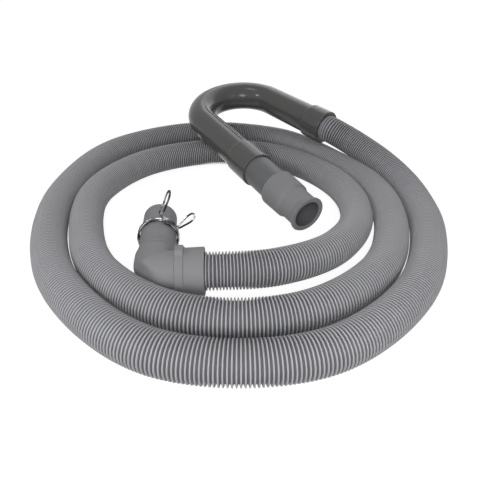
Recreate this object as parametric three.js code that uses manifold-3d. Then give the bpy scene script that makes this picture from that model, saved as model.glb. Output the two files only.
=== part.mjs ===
// Drain hose of a washing machine, lying coiled on the floor.
// Millimetres, +Z up. The middle of the coil is where all places are measured from,
// and the finished group is moved so that its end fittings stand centred on the origin.
import * as THREE from 'three';
import { mergeVertices } from 'three/addons/utils/BufferGeometryUtils.js';
import Module from 'manifold-3d';

const wasm = await Module();
wasm.setup();

// Clearance between pieces that touch or sit in one another, of the hose over the floor,
// and of the hook over the turn of hose that it rests on, where it slopes.
const seatGap = 0.3;
const floorGap = 0.25;
const restGap = 1.2;

// Corrugated hose, as the plain tube over its ribs.
const hoseOuter = 27;
const hoseSides = 12;
const hoseSteps = 140;
const hoseInElbow = 20;
const hoseInSleeve = 20;
const straightLead = 9;

// The coil: how far the hose's centreline is from the middle, one value every thirty degrees
// from the elbow on, and how far round the hose has come down from the cuff onto the floor.
const coilStartAngle = -75;
const coilStepAngle = 30;
const coilReach = [
  96, 96.5, 99, 102, 109, 123, 134, 139, 136, 129, 136, 144, 143, 135,
  127, 130, 139, 174, 197, 192, 167, 157, 164, 178, 178, 164, 155,
];
const coilLevelAngle = -15;

// The climb from the floor up to the gooseneck: angle round the middle, reach and height.
const climbPoints = [
  [722, 156, 14.2],
  [735, 158, 18],
  [748, 157, 25.5],
  [761, 154, 35],
];

// Elbow boot, moulded in rubber.
const cuffMouthX = -24;
const cuffMouthY = -99;
const cuffHeading = 2;
const cuffOuter = 34;
const cuffThroat = 33;
const cuffLength = 14;
const beadOuter = 34.6;
const beadWidth = 6;
const beadFromCorner = 14.5;
const elbowEdge = 0.8;
const tabHeight = 1.2;
const tabWidth = 9;
const cornerOuter = 30;
const cornerCut = 8.9;
const cornerWall = 2.4;
const elbowBore = 21;
const legHeading = 95.3;
const legDroop = 1.1;
const legLength = 78;
const legShoulderFromCorner = 16.5;
const legShoulderSlope = 2.5;
const legShoulderOuter = 27.8;
const legShoulderLength = 8;
const legWaistOuter = 26.2;
const legClampOuter = 28;
const legEndOuter = 27;
const legRim = 1;
const spigotBore = 22.5;
const spigotDepth = 38;

// Spring clamp, bent from one wire.
const clampWire = 1.6;
const clampFromRim = 30;
const clampInnerSpread = 1.2;
const clampOuterSpread = 3.3;
const clampFirstEarAngle = 82;
const clampSecondEarAngle = 24;
const clampNarrowSpan = 80;
const firstEarLength = 25;
const firstEarHalfWidth = 2.5;
const secondEarLength = 18.5;
const secondEarHalfWidth = 3.3;
const earTwist = 25;
const earLean = 14;
const earTipGap = 1;
const earRoot = 6;
const wireStep = 12;

// Gooseneck pipe that hooks over a sink or standpipe.
const hookX = 84;
const hookY = 131;
const hookHeading = 131.5;
const hookPitch = 7.4;
const hookRoll = -7.8;
const pipeOuter = 30;
const pipeWall = 2.2;
const sleeveLength = 23;
const sleeveOuter = 34;
const sleeveChamfer = 1.6;
const risingLeg = 72;
const bendRadius = 45;
const bendAngle = 170;
const returnLeg = 102;
const socketOuter = 33.2;
const socketLength = 30;
const socketDepth = 18;
const grooveWidth = 2;
const grooveStart = 184;
const grooveEnd = 69;
const grooveTurn = 74;

// Outlet tube and the end adaptor on it.
const outletOuter = 29.6;
const outletWall = 2.4;
const outletShown = 32;
const outletInAdaptor = 20;
const adaptorOuter = 34.6;
const adaptorWaist = 33;
const adaptorBody = 23;
const adaptorNeck = 29.2;
const adaptorNeckBore = 24;
const adaptorNose = 21.5;
const lipOuter = 32.6;
const lipLength = 5;
const lipEdge = 1.1;

// How finely round and swept shapes are divided.
const roundSegments = 32;
const pipeSegments = 22;
const pipeSteps = 46;
const grooveSides = 8;
const grooveSteps = 14;
const wireSides = 8;
const wireSteps = 130;

// Cutters run past the ends they cut, and joined pieces reach a little into one another.
const past = 1;
const buried = 0.7;
const mitreLap = 0.1;

const radians = THREE.MathUtils.degToRad;
const vec = (x, y, z) => new THREE.Vector3(x, y, z);
const along = (from, direction, distance) => from.clone().addScaledVector(direction, distance);
const heading = (degrees) => vec(Math.cos(radians(degrees)), Math.sin(radians(degrees)), 0);

// Merges shared corners so that a geometry is one closed skin with its faces outwards.
function closed(geometry) {
  const bare = geometry.clone();
  bare.deleteAttribute('normal');
  bare.deleteAttribute('uv');
  const merged = mergeVertices(bare, 1e-4);
  const p = merged.getAttribute('position');
  const old = merged.getIndex().array;
  const kept = [];
  const a = vec(0, 0, 0);
  const b = vec(0, 0, 0);
  const c = vec(0, 0, 0);
  let volume = 0;
  for (let i = 0; i < old.length; i += 3) {
    const [i0, i1, i2] = [old[i], old[i + 1], old[i + 2]];
    if (i0 === i1 || i1 === i2 || i2 === i0) continue;
    a.fromBufferAttribute(p, i0);
    b.fromBufferAttribute(p, i1);
    c.fromBufferAttribute(p, i2);
    volume += a.dot(b.cross(c));
    kept.push(i0, i1, i2);
  }
  if (volume < 0) kept.reverse();
  merged.setIndex(kept);
  return merged;
}

function solid(geometry) {
  const skin = closed(geometry);
  return new wasm.Manifold(new wasm.Mesh({
    numProp: 3,
    vertProperties: new Float32Array(skin.getAttribute('position').array),
    triVerts: new Uint32Array(skin.getIndex().array),
  }));
}

function geometryOf(body) {
  const mesh = body.getMesh();
  const geometry = new THREE.BufferGeometry();
  geometry.setAttribute('position', new THREE.BufferAttribute(mesh.vertProperties, 3));
  geometry.setIndex(new THREE.BufferAttribute(mesh.triVerts, 1));
  geometry.computeVertexNormals();
  return geometry;
}

// Turns a closed profile of [radius, distance] pairs about an axis that starts at a point.
function turned(profile, start, axis, segments = roundSegments) {
  const points = profile.map(([radius, distance]) => new THREE.Vector2(radius, distance));
  const onAxis = profile[0][0] === 0 && profile.at(-1)[0] === 0;
  if (!onAxis) points.push(points[0].clone());
  const geometry = new THREE.LatheGeometry(points, segments);
  const turn = new THREE.Quaternion().setFromUnitVectors(vec(0, 1, 0), axis);
  geometry.applyQuaternion(turn);
  geometry.translate(start.x, start.y, start.z);
  return geometry;
}

function regularSection(radius, sides) {
  const corners = [];
  for (let i = 0; i < sides; i += 1) {
    const angle = ((i + 0.5) / sides) * 2 * Math.PI;
    corners.push(new THREE.Vector2(radius * Math.cos(angle), radius * Math.sin(angle)));
  }
  return new THREE.Shape(corners);
}

function swept(path, radius, sides, steps) {
  path.arcLengthDivisions = 2000;
  const section = regularSection(radius, sides);
  return new THREE.ExtrudeGeometry(section, { steps, bevelEnabled: false, extrudePath: path });
}

function part(name, geometry, colour, roughness, metalness) {
  const material = new THREE.MeshStandardMaterial({ color: colour, roughness, metalness });
  const mesh = new THREE.Mesh(geometry, material);
  mesh.name = name;
  return mesh;
}

// The gooseneck lies in one plane: along and across are that plane's directions.
const rise = radians(hookPitch);
const level = heading(hookHeading);
const along1 = vec(level.x * Math.cos(rise), level.y * Math.cos(rise), Math.sin(rise));
const across1 = heading(hookHeading + 90).applyAxisAngle(along1, radians(hookRoll));
const bend = radians(bendAngle);
const along2 = along1.clone().multiplyScalar(Math.cos(bend)).addScaledVector(across1, Math.sin(bend));

const bendStartFromHook = along1.clone().multiplyScalar(risingLeg);
const bendCentreFromHook = along(bendStartFromHook, across1, bendRadius);
const bendPoint = (centre, angle) => along(
  along(centre, across1, -bendRadius * Math.cos(angle)),
  along1,
  bendRadius * Math.sin(angle),
);

// The end of the bend rests on the turn of hose under it, and that sets the height of it all.
const restHeight = hoseOuter + restGap + pipeOuter / 2;
const hookZ = restHeight - bendPoint(bendCentreFromHook, bend).z;
const hookMiddle = vec(hookX, hookY, hookZ);
const sleeveMouth = along(hookMiddle, along1, -sleeveLength / 2);
const bendCentre = hookMiddle.clone().add(bendCentreFromHook);
const bendEnd = bendPoint(bendCentre, bend);
const socketEnd = along(bendEnd, along2, returnLeg);

const side1 = along1.clone().cross(across1);

class HookCurve extends THREE.Curve {
  constructor(reach, turn, start, end) {
    super();
    this.inset = reach * Math.cos(radians(turn));
    this.lift = reach * Math.sin(radians(turn));
    this.start = start;
    this.end = end;
  }

  // A point on the hook's line, moved towards the inside of the bend and out of the bend's plane.
  getPoint(t, target = new THREE.Vector3()) {
    return this.inPlane(t, target).addScaledVector(side1, this.lift);
  }

  inPlane(t, target) {
    const arc = bendRadius * bend;
    const rising = risingLeg + sleeveLength / 2;
    const s = THREE.MathUtils.lerp(this.start, this.end, t);
    if (s < rising) {
      return target.copy(along(along(sleeveMouth, along1, s), across1, this.inset));
    }
    if (s < rising + arc) {
      const angle = (s - rising) / bendRadius;
      const radius = bendRadius - this.inset;
      return target.copy(bendCentre)
        .addScaledVector(across1, -radius * Math.cos(angle))
        .addScaledVector(along1, radius * Math.sin(angle));
    }
    const inward = across1.clone().multiplyScalar(-Math.cos(bend)).addScaledVector(along1, Math.sin(bend));
    return target.copy(bendEnd)
      .addScaledVector(along2, s - rising - arc)
      .addScaledVector(inward, -this.inset);
  }
}

const hookLength = sleeveLength / 2 + risingLeg + bendRadius * bend + returnLeg;

function makeGooseneck() {
  const outerRadius = pipeOuter / 2;
  const innerRadius = outerRadius - pipeWall;
  const pipe = solid(swept(new HookCurve(0, 0, 0, hookLength), outerRadius, pipeSegments, pipeSteps));

  const sleeve = solid(turned([
    [0, 0],
    [sleeveOuter / 2 - sleeveChamfer, 0],
    [sleeveOuter / 2, sleeveChamfer],
    [sleeveOuter / 2, sleeveLength],
    [outerRadius - buried, sleeveLength + sleeveChamfer],
    [0, sleeveLength + sleeveChamfer],
  ], sleeveMouth, along1));

  const socketStart = along(socketEnd, along2, -socketLength);
  const socket = solid(turned([
    [0, -sleeveChamfer],
    [outerRadius - buried, -sleeveChamfer],
    [socketOuter / 2, 0],
    [socketOuter / 2, socketLength - lipEdge],
    [socketOuter / 2 - lipEdge / 2, socketLength],
    [0, socketLength],
  ], socketStart, along2));

  // The mould seam is a groove on the inner top of the bend and of the leg up to the socket.
  const grooveFrom = sleeveLength / 2 + grooveStart;
  const grooveTo = hookLength - returnLeg + grooveEnd;
  const groovePath = new HookCurve(outerRadius, grooveTurn, grooveFrom, grooveTo);
  const groove = solid(swept(groovePath, grooveWidth / 2, grooveSides, grooveSteps));

  const borePath = new HookCurve(0, 0, -past, hookLength + past);
  const bore = solid(swept(borePath, innerRadius, pipeSegments, pipeSteps));
  const hoseSeat = solid(turned([
    [0, -past],
    [hoseOuter / 2 + seatGap, -past],
    [hoseOuter / 2 + seatGap, hoseInSleeve + seatGap],
    [0, hoseInSleeve + seatGap],
  ], sleeveMouth, along1));
  const outletSeat = solid(turned([
    [0, -socketDepth - seatGap],
    [outletOuter / 2 + seatGap, -socketDepth - seatGap],
    [outletOuter / 2 + seatGap, past],
    [0, past],
  ], socketEnd, along2));

  const body = pipe.add(sleeve).add(socket).subtract(groove);
  return geometryOf(body.subtract(bore).subtract(hoseSeat).subtract(outletSeat));
}

// Outlet tube, from the floor of the gooseneck's socket into the adaptor.
const outletStart = along(socketEnd, along2, -socketDepth);
const outletLength = socketDepth + outletShown + outletInAdaptor;
const outletBore = outletOuter / 2 - outletWall;

function makeOutletTube() {
  return closed(turned([
    [outletBore, 0],
    [outletOuter / 2, 0],
    [outletOuter / 2, outletLength],
    [outletBore, outletLength],
  ], outletStart, along2));
}

// End adaptor: a stepped cap over the tube, with a narrower nose and a flared open lip.
const adaptorStart = along(socketEnd, along2, outletShown);
const adaptorLength = adaptorBody + adaptorNose;

function makeAdaptor() {
  const seat = outletOuter / 2 + seatGap;
  const floor = outletInAdaptor + seatGap;
  const lipStart = adaptorLength - lipLength;
  return closed(turned([
    [seat, 0],
    [adaptorOuter / 2 - lipEdge, 0],
    [adaptorOuter / 2, lipEdge],
    [adaptorWaist / 2, adaptorBody - lipEdge],
    [adaptorWaist / 2 - lipEdge, adaptorBody],
    [adaptorNeck / 2, adaptorBody + lipEdge],
    [adaptorNeck / 2, lipStart],
    [lipOuter / 2 - lipEdge / 2, adaptorLength - lipEdge],
    [lipOuter / 2, adaptorLength - lipEdge / 2],
    [lipOuter / 2 - lipEdge / 2, adaptorLength],
    [adaptorNeckBore / 2 + lipEdge / 2, adaptorLength],
    [adaptorNeckBore / 2, adaptorLength - lipEdge / 2],
    [adaptorNeckBore / 2, floor],
    [seat, floor],
  ], adaptorStart, along2));
}

// Elbow boot: its cuff's mouth, its corner and the leg that goes over the pump's spigot.
const towardsHose = heading(cuffHeading);
const droop = radians(legDroop);
const towardsPump = heading(legHeading).multiplyScalar(Math.cos(droop)).setZ(-Math.sin(droop));
const elbowHeight = beadOuter / 2;
const cuffMouth = vec(cuffMouthX, cuffMouthY, elbowHeight);
const cuffReach = beadFromCorner + beadWidth + cuffLength;
const corner = along(cuffMouth, towardsHose, -cuffReach);

// Joins two bars that run on past the corner, cutting each back to the plane where they meet.
// The cuff's bar reaches a little past it, so that the two are one body at any size.
function mitred(cuffBar, legBar) {
  const plane = towardsHose.clone().sub(towardsPump).normalize();
  const level = corner.dot(plane);
  const cuffSide = cuffBar.trimByPlane(plane.toArray(), level - mitreLap);
  return cuffSide.add(legBar.trimByPlane(plane.clone().negate().toArray(), -level));
}

function makeElbow() {
  const behind = -cornerOuter / 2 - past;
  const cuffStart = cuffReach - cuffLength;
  const cuff = solid(turned([
    [0, behind],
    [cornerOuter / 2, behind],
    [cornerOuter / 2, beadFromCorner],
    [beadOuter / 2 - elbowEdge, beadFromCorner],
    [beadOuter / 2, beadFromCorner + elbowEdge],
    [beadOuter / 2, cuffStart - elbowEdge],
    [cuffThroat / 2, cuffStart],
    [cuffOuter / 2, cuffReach - elbowEdge],
    [cuffOuter / 2 - elbowEdge, cuffReach],
    [0, cuffReach],
  ], corner, towardsHose));

  // The tab on top of the bead shows how far round the cuff is turned. It ends short of the bead's faces.
  const tab = new THREE.BoxGeometry(beadWidth - elbowEdge, tabWidth, cuffOuter / 2);
  tab.translate(beadFromCorner + beadWidth / 2, 0, beadOuter / 2 + tabHeight - cuffOuter / 4);
  tab.rotateZ(radians(cuffHeading));
  tab.translate(corner.x, corner.y, corner.z);

  const waistStart = legShoulderFromCorner + legShoulderLength;
  const clampSeat = legLength - clampFromRim;
  const leg = solid(turned([
    [0, behind],
    [cornerOuter / 2, behind],
    [cornerOuter / 2, legShoulderFromCorner],
    [legShoulderOuter / 2, legShoulderFromCorner + legShoulderSlope],
    [legShoulderOuter / 2, waistStart - elbowEdge],
    [legWaistOuter / 2, waistStart + elbowEdge],
    [legWaistOuter / 2, waistStart + legShoulderLength],
    [legClampOuter / 2, clampSeat - clampOuterSpread],
    [legClampOuter / 2, clampSeat + clampOuterSpread],
    [legEndOuter / 2, clampSeat + 2 * clampOuterSpread],
    [legEndOuter / 2, legLength - legRim],
    [legEndOuter / 2 - legRim, legLength],
    [0, legLength],
  ], corner, towardsPump));

  const hoseStop = cuffReach - hoseInElbow - seatGap;
  const cuffBore = solid(turned([
    [0, behind],
    [elbowBore / 2, behind],
    [elbowBore / 2, hoseStop],
    [hoseOuter / 2 + seatGap, hoseStop],
    [hoseOuter / 2 + seatGap, cuffReach + past],
    [0, cuffReach + past],
  ], corner, towardsHose));
  const legBore = solid(turned([
    [0, behind],
    [elbowBore / 2, behind],
    [elbowBore / 2, legLength - spigotDepth],
    [spigotBore / 2, legLength - spigotDepth + 2 * past],
    [spigotBore / 2, legLength + past],
    [0, legLength + past],
  ], corner, towardsPump));

  // The outer edge of the corner is cut back, and the bore inside it with it.
  const inwards = towardsHose.clone().add(towardsPump).normalize();
  const cutBack = (body, distance) => body.trimByPlane(inwards.toArray(), corner.dot(inwards) - distance);
  const outside = cutBack(mitred(cuff, leg), cornerCut);
  const inside = cutBack(mitred(cuffBore, legBore), cornerCut - cornerWall);
  return geometryOf(outside.add(solid(tab)).subtract(inside));
}

// Spring clamp round the pump leg. Its wire goes out in one ear, round the leg twice side by side
// and out in the other ear: the narrow pair passes between the wide pair where they overlap.
function makeClamp() {
  const seat = legClampOuter / 2 + 1.5 * seatGap + clampWire / 2;
  const middle = along(corner, towardsPump, legLength - clampFromRim);
  const sideways = heading(legHeading - 90);
  const outward = (angle) => sideways.clone().applyAxisAngle(towardsPump, radians(-angle));
  const onLeg = (angle, radius, spread) => along(along(middle, outward(angle), radius), towardsPump, spread);
  // The ears lean towards each other and their loops are turned a little out of line.
  const onEar = (angle, lean, out, spread) => {
    const direction = outward(angle + lean);
    const width = towardsPump.clone().applyAxisAngle(direction, radians(earTwist));
    return along(along(onLeg(angle, seat, 0), direction, out), width, spread);
  };

  // One half of the wire, from the tip of the second ear to the tip of the first.
  const half = (side) => {
    const points = [];
    const ear2 = (share, spread) => points.push(
      onEar(clampSecondEarAngle, earLean, secondEarLength * share, side * spread),
    );
    ear2(1, earTipGap);
    ear2(0.92, secondEarHalfWidth * 0.8);
    ear2(0.72, secondEarHalfWidth);
    ear2(0.4, secondEarHalfWidth * 0.7);
    ear2(0.15, clampInnerSpread);
    const from = clampSecondEarAngle + earRoot;
    const to = 360 + clampFirstEarAngle - earRoot;
    for (let angle = from; angle <= to; angle += wireStep) {
      const t = THREE.MathUtils.smoothstep(angle - from, clampNarrowSpan, clampNarrowSpan * 2);
      points.push(onLeg(angle, seat, side * THREE.MathUtils.lerp(clampInnerSpread, clampOuterSpread, t)));
    }
    const ear1 = (share, spread) => points.push(
      onEar(clampFirstEarAngle, -earLean, firstEarLength * share, side * spread),
    );
    ear1(0.15, clampOuterSpread * 0.8);
    ear1(0.5, firstEarHalfWidth * 0.9);
    ear1(0.8, firstEarHalfWidth);
    ear1(0.95, firstEarHalfWidth * 0.6);
    return points;
  };
  const tip = onEar(clampFirstEarAngle, -earLean, firstEarLength, 0);
  const wire = new THREE.CatmullRomCurve3([...half(1), tip, ...half(-1).reverse()], false, 'centripetal');
  return closed(swept(wire, clampWire / 2, wireSides, wireSteps));
}

// The hose's route: out of the cuff, round the coil, up the climb and into the sleeve.
const hoseLie = (hoseOuter / 2) * Math.cos(Math.PI / hoseSides) + floorGap;

function hoseRoute() {
  const round = (angle, reach, height) => vec(
    reach * Math.cos(radians(angle)),
    reach * Math.sin(radians(angle)),
    height,
  );
  const points = [
    along(cuffMouth, towardsHose, -hoseInElbow),
    along(cuffMouth, towardsHose, -hoseInElbow / 2),
    cuffMouth.clone(),
    along(cuffMouth, towardsHose, straightLead),
  ];
  coilReach.forEach((reach, i) => {
    const angle = coilStartAngle + i * coilStepAngle;
    const down = THREE.MathUtils.smoothstep(angle, coilStartAngle - coilStepAngle, coilLevelAngle);
    points.push(round(angle, reach, THREE.MathUtils.lerp(elbowHeight, hoseLie, down)));
  });
  for (const [angle, reach, height] of climbPoints) {
    points.push(round(angle, reach, height));
  }
  points.push(
    along(sleeveMouth, along1, -straightLead),
    sleeveMouth.clone(),
    along(sleeveMouth, along1, hoseInSleeve / 2),
    along(sleeveMouth, along1, hoseInSleeve),
  );
  return new THREE.CatmullRomCurve3(points, false, 'centripetal');
}

const hose = part(
  'corrugated_hose',
  closed(swept(hoseRoute(), hoseOuter / 2, hoseSides, hoseSteps)),
  0x8b8c8f,
  0.55,
  0,
);
const fittings = [
  part('elbow_boot', makeElbow(), 0x85868a, 0.6, 0),
  part('spring_clamp', makeClamp(), 0xc9cacc, 0.22, 1),
  part('gooseneck_pipe', makeGooseneck(), 0x77797a, 0.32, 0),
  part('outlet_tube', makeOutletTube(), 0x74777a, 0.4, 0),
  part('end_adaptor', makeAdaptor(), 0x85868a, 0.6, 0),
];

// The fittings stand centred on the origin, on the floor at zero.
const group = new THREE.Group();
const box = new THREE.Box3();
for (const piece of fittings) {
  group.add(piece);
  box.expandByObject(piece);
}
group.add(hose);
const centre = box.getCenter(vec(0, 0, 0));
group.position.set(-centre.x, -centre.y, -box.min.z);

export default group;
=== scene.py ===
import math

import bmesh
import bpy
from bpy.props import FloatProperty, FloatVectorProperty, IntProperty, PointerProperty
from bpy.types import Operator, Panel, PropertyGroup
from mathutils import Matrix, Vector


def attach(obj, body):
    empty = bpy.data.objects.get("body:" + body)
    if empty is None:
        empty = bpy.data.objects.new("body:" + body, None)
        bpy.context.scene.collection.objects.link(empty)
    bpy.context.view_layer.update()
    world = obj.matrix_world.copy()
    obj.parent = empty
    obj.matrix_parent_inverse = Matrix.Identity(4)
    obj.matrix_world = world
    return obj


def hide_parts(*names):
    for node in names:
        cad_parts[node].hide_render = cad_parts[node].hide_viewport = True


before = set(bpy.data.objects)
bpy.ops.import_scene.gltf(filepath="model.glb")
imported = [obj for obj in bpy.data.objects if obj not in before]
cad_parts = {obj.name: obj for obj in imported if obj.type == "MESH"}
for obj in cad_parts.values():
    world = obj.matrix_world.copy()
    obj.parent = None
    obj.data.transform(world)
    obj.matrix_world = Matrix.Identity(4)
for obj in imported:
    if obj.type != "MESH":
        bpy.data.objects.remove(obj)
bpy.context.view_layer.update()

bl_info = {
    "name": "Washing machine drain hose",
    "version": (1, 0, 0),
    "blender": (4, 5, 0),
    "location": "3D View > Sidebar > Drain Hose",
    "description": "Builds a coiled drain hose with its elbow boot, spring clamp and gooseneck",
    "category": "Add Mesh",
}

# Sizes and places are in millimetres and angles in degrees, unless a comment says otherwise.
MM = 0.001

# The middle of the coil, from which the hose and its fittings are set out
COIL_MIDDLE = Vector((-12.0617, -48.8258, 0))

# Clearances: under the hose, where a piece sits in another, and where the pipe passes over the coil
FLOOR_GAP = 0.1
SEAT_GAP = 0.3
REST_GAP = 1.2

# Hose
HOSE_OUTER = 27
HOSE_IN_ELBOW = 20
HOSE_IN_SLEEVE = 20
HOSE_SEAT = HOSE_OUTER / 2 + SEAT_GAP
STRAIGHT_LEAD = 9
ROUTE_STEP = 2
RINGS_PER_RIB = 4

# How far from the coil's middle the hose lies, at every step of the angle round it, and then its
# climb to the sleeve as (angle, reach, height)
COIL_START_ANGLE = -75
COIL_STEP_ANGLE = 30
COIL_LEVEL_ANGLE = -15
COIL_REACH = [
    96, 96.5, 99, 102, 109, 123, 134, 139, 136, 129, 136, 144, 143, 135,
    127, 130, 139, 174, 197, 192, 167, 157, 164, 178, 178, 164, 155,
]
CLIMB = [(722, 156, 14.2), (735, 158, 18), (748, 157, 25.5), (761, 154, 35)]

# Elbow boot
CUFF_MOUTH = (-24, -99)
CUFF_HEADING = 2
CUFF_OUTER = 34
CUFF_THROAT = 33
CUFF_LENGTH = 14
BEAD_OUTER = 34.6
BEAD_WIDTH = 6
BEAD_FROM_CORNER = 14.5
BEAD_CUFF_SLOPE = 0.3
BEAD_CORNER_SLOPE = 0.1
TAB_HEIGHT = 2.4
TAB_WIDTH = 9
TAB_EDGE_INSIDE = 1
TAB_EDGE_OUTSIDE = 0.5
CORNER_OUTER = 30
CORNER_CUT = 8.9
CORNER_WALL = 2.4
CORNER_SOFTNESS = 2.5
ELBOW_BORE = 21
LEG_HEADING = 95.3
LEG_DROOP = 1.1
LEG_LENGTH = 78
LEG_SHOULDER_FROM_CORNER = 16.5
LEG_SHOULDER_SLOPE = 2.5
LEG_SHOULDER_OUTER = 27.8
LEG_SHOULDER_LENGTH = 8
LEG_WAIST_SLOPE = 0.8
LEG_WAIST_OUTER = 26.2
LEG_CLAMP_OUTER = 28
LEG_END_OUTER = 27
SPIGOT_BORE = 22.5
SPIGOT_DEPTH = 38
SPIGOT_CONE = 2

# How much finer the elbow boot's skin is than the other fittings'
ELBOW_EXTRA_SIDES = 24
ELBOW_FINER = 2

# Spring clamp
CLAMP_WIRE = 1.6
CLAMP_GAP = 1.5 * SEAT_GAP
CLAMP_FROM_RIM = 30
CLAMP_INNER_SPREAD = 1.2
CLAMP_OUTER_SPREAD = 3.3
CLAMP_FIRST_EAR = 82
CLAMP_SECOND_EAR = 24
CLAMP_NARROW_SPAN = 80
FIRST_EAR_LENGTH = 25
FIRST_EAR_HALF_WIDTH = 2.5
SECOND_EAR_LENGTH = 18.5
SECOND_EAR_HALF_WIDTH = 3.3
EAR_TWIST = 25
EAR_LEAN = 14
EAR_TIP_GAP = 1
EAR_ROOT = 6
WIRE_TURN_STEP = 12
WIRE_STEP = 0.8
WIRE_ROUNDNESS = 3

# The loops of the ears, as (share of the ear's length, share of its half width), and where on that
# length and how far apart the wires are at the roots
FIRST_EAR_LOOP = [(0.5, 0.9), (0.8, 1), (0.95, 0.6)]
SECOND_EAR_LOOP = [(0.92, 0.8), (0.72, 1), (0.4, 0.7)]
EAR_ROOT_SHARE = 0.15
FIRST_EAR_ROOT_SPREAD = CLAMP_OUTER_SPREAD * 0.8

# Gooseneck pipe
HOOK_PLACE = (84, 131)
HOOK_HEADING = 131.5
HOOK_PITCH = 7.4
HOOK_ROLL = -7.8
PIPE_OUTER = 30
PIPE_WALL = 2.2
SLEEVE_LENGTH = 23
SLEEVE_OUTER = 34
RISING_LEG = 72
BEND_RADIUS = 45
BEND_ANGLE = 170
RETURN_LEG = 102
SOCKET_OUTER = 33.2
SOCKET_LENGTH = 30
SOCKET_DEPTH = 18
STEP_SLOPE = 1.6

# The mould seam's groove: its size, where it starts and ends, the lengths on which it deepens and
# fades, how far round the pipe it is, and the strip with finer corners that it lies in
GROOVE_HALF_WIDTH = 1
GROOVE_HALF_FLOOR = 0.1
GROOVE_START = 184
GROOVE_RUN_IN = 16
GROOVE_END = 69
GROOVE_RUN_OUT = 2
GROOVE_TURN = 74
GROOVE_STRIP = 2.4 * GROOVE_HALF_WIDTH
GROOVE_STRIP_SIDES = 8

# Outlet tube and end adaptor
OUTLET_OUTER = 29.6
OUTLET_WALL = 2.4
OUTLET_SHOWN = 32
OUTLET_IN_ADAPTOR = 20
OUTLET_SEAT = OUTLET_OUTER / 2 + SEAT_GAP
ADAPTOR_OUTER = 34.6
ADAPTOR_WAIST = 33
WAIST_FROM_NECK = 0.4
ADAPTOR_BODY = 23
ADAPTOR_NECK = 29.2
ADAPTOR_NECK_BORE = 24
ADAPTOR_NOSE = 21.5
LIP_OUTER = 32.6
LIP_LENGTH = 5
LIP_EDGE = 1.1
LIP_CROWN_FROM_END = LIP_EDGE * 0.8
LIP_END_LOWER = LIP_EDGE * 0.3

# Roundings: how far from its corner an edge starts to be round, in the order of the outline
SEAT_CORNER = 0.2
SEAT_EDGE = 0.3
ELBOW_EDGE = 0.9
THROAT_EDGE = 0.5
BEAD_FOOT_EDGE = 0.4
LEG_SHOULDER_EDGE = 1.2
LEG_WAIST_EDGES = (1.5, 4)
LEG_CLAMP_EDGES = (3, 1)
LEG_END_EDGES = (1.5, 1.2)
SPIGOT_EDGES = (0.5, 0.6, 0.6)
SLEEVE_EDGE = 1.4
PIPE_EDGE = 0.8
OUTLET_EDGE = 0.4
ADAPTOR_BODY_EDGES = (1, 1.3)
ADAPTOR_NECK_EDGES = (0.8, 2)
LIP_EDGES = (0.6, 0.5, 0.7)
ADAPTOR_STOP_EDGE = 0.4

# Skins: the steps of a rounded corner, the most of an outline's side that it takes up, how close to a
# long run's ends its first and last rings lie, the run that is too short for rings, and how far off a
# ring may be that counts as on the bead or on the pipe's outside
ROUNDING_STEPS = 4
ROUNDING_SHARE = 0.45
RING_FROM_END = 0.25
SHORT_RUN = 1
BEAD_TOLERANCE = 0.1
RADIUS_TOLERANCE = 0.01

# Painted shade on the walls inside the fittings, where shadow falls in the bores: how far they go
# towards the darkest shade
BORE_PAINTED_SHADE = 0.5

# Finishes: a seam fades between two distances, in turns, and adds its light to the colour. A roughness
# goes from the smoothest to the roughest spot, and the hose's and the pipe's add to their settings.
HOSE_SEAM = 0.27
HOSE_SEAM_FADE = (0.004, 0.009)
HOSE_SEAM_LIGHT = 0.08
RUBBER_SEAM_FADE = (0.002, 0.006)
RUBBER_SEAM_LIGHT = 0.05
HOSE_SMOOTHEST = -0.08
HOSE_ROUGHEST = 0.1
PIPE_ROUGHEST = 0.06
RUBBER_ROUGHNESS = (0.5, 0.72)
TUBE_ROUGHNESS = (0.38, 0.52)
WIRE_ROUGHNESS = (0.1, 0.3)
DULL_SPECULAR = 0.2
SMOOTH_SPECULAR = 0.25

# Where the crest's colour turns into the groove's painted shade, from 0 on a rib to 1 at the bottom of
# the groove, and from which to which level of its noise the wire turns bright
GROOVE_SHADE_FADE = (0, 0.5)
WIRE_BRIGHT_FADE = (0.42, 0.62)

# The camera: its place as seen from the coil's middle, how far it is turned up from looking straight
# down, and its lens
CAMERA_PLACE = Vector((0, -360, 207))
CAMERA_TURN = 57.8
CAMERA_LENS = 35.1
CAMERA_SENSOR = 36

# The floor: the angle from one corner to the next, how much light it gives back to the pieces and to
# the camera, how bright it glows near the coil, and where that turns to white, in metres
FLOOR_STEP = 5
FLOOR_BOUNCE = 0.35
FLOOR_PAPER = 0.22
FLOOR_GLOW = 0.93
FLOOR_FADE = (0.2, 0.5)

# The painted shade on the floor in the gap between the second and the third turn at the front, where
# the glowing floor shows no shadow: how dark it is, between which angles round the coil it sets in and
# ends, how high it lies, and its rows, each as (distance inwards from the second turn's middle line,
# share of the darkness)
GAP_PAINTED_SHADE = 0.85
GAP_START = (205, 235)
GAP_END = (320, 350)
GAP_LIFT = 0.05
GAP_ROWS = [(-14, 0), (-11, 1), (-2, 1), (0, 0)]

# The lamps, each as (place, where it points, diameter) in metres
LAMPS = {
    "key": ((-0.02, -0.56, 0.26), (0, -0.15, 0), 0.25),
    "fill": ((0.65, -0.7, 0.5), (0, 0, 0), 0.5),
    "back": ((0.3, 0.85, 0.6), (0, 0, 0), 1),
    "top": ((-0.3, -0.06, 1.18), (0, 0, 0), 0.3),
    "spark": ((-0.62, -0.24, 0.48), (0, 0.1, 0.05), 0.05),
}


# Places and lines

def heading(degrees):
    """The level way at an angle from +X, one long."""
    angle = math.radians(degrees)
    return Vector((math.cos(angle), math.sin(angle), 0))


def eased(value, low, high):
    """0 below low, 1 above high and a smooth step between them."""
    t = min(max((value - low) / (high - low), 0), 1)
    return t * t * (3 - 2 * t)


def turned_about(vector, axis, degrees):
    return Matrix.Rotation(math.radians(degrees), 3, axis) @ vector


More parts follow.
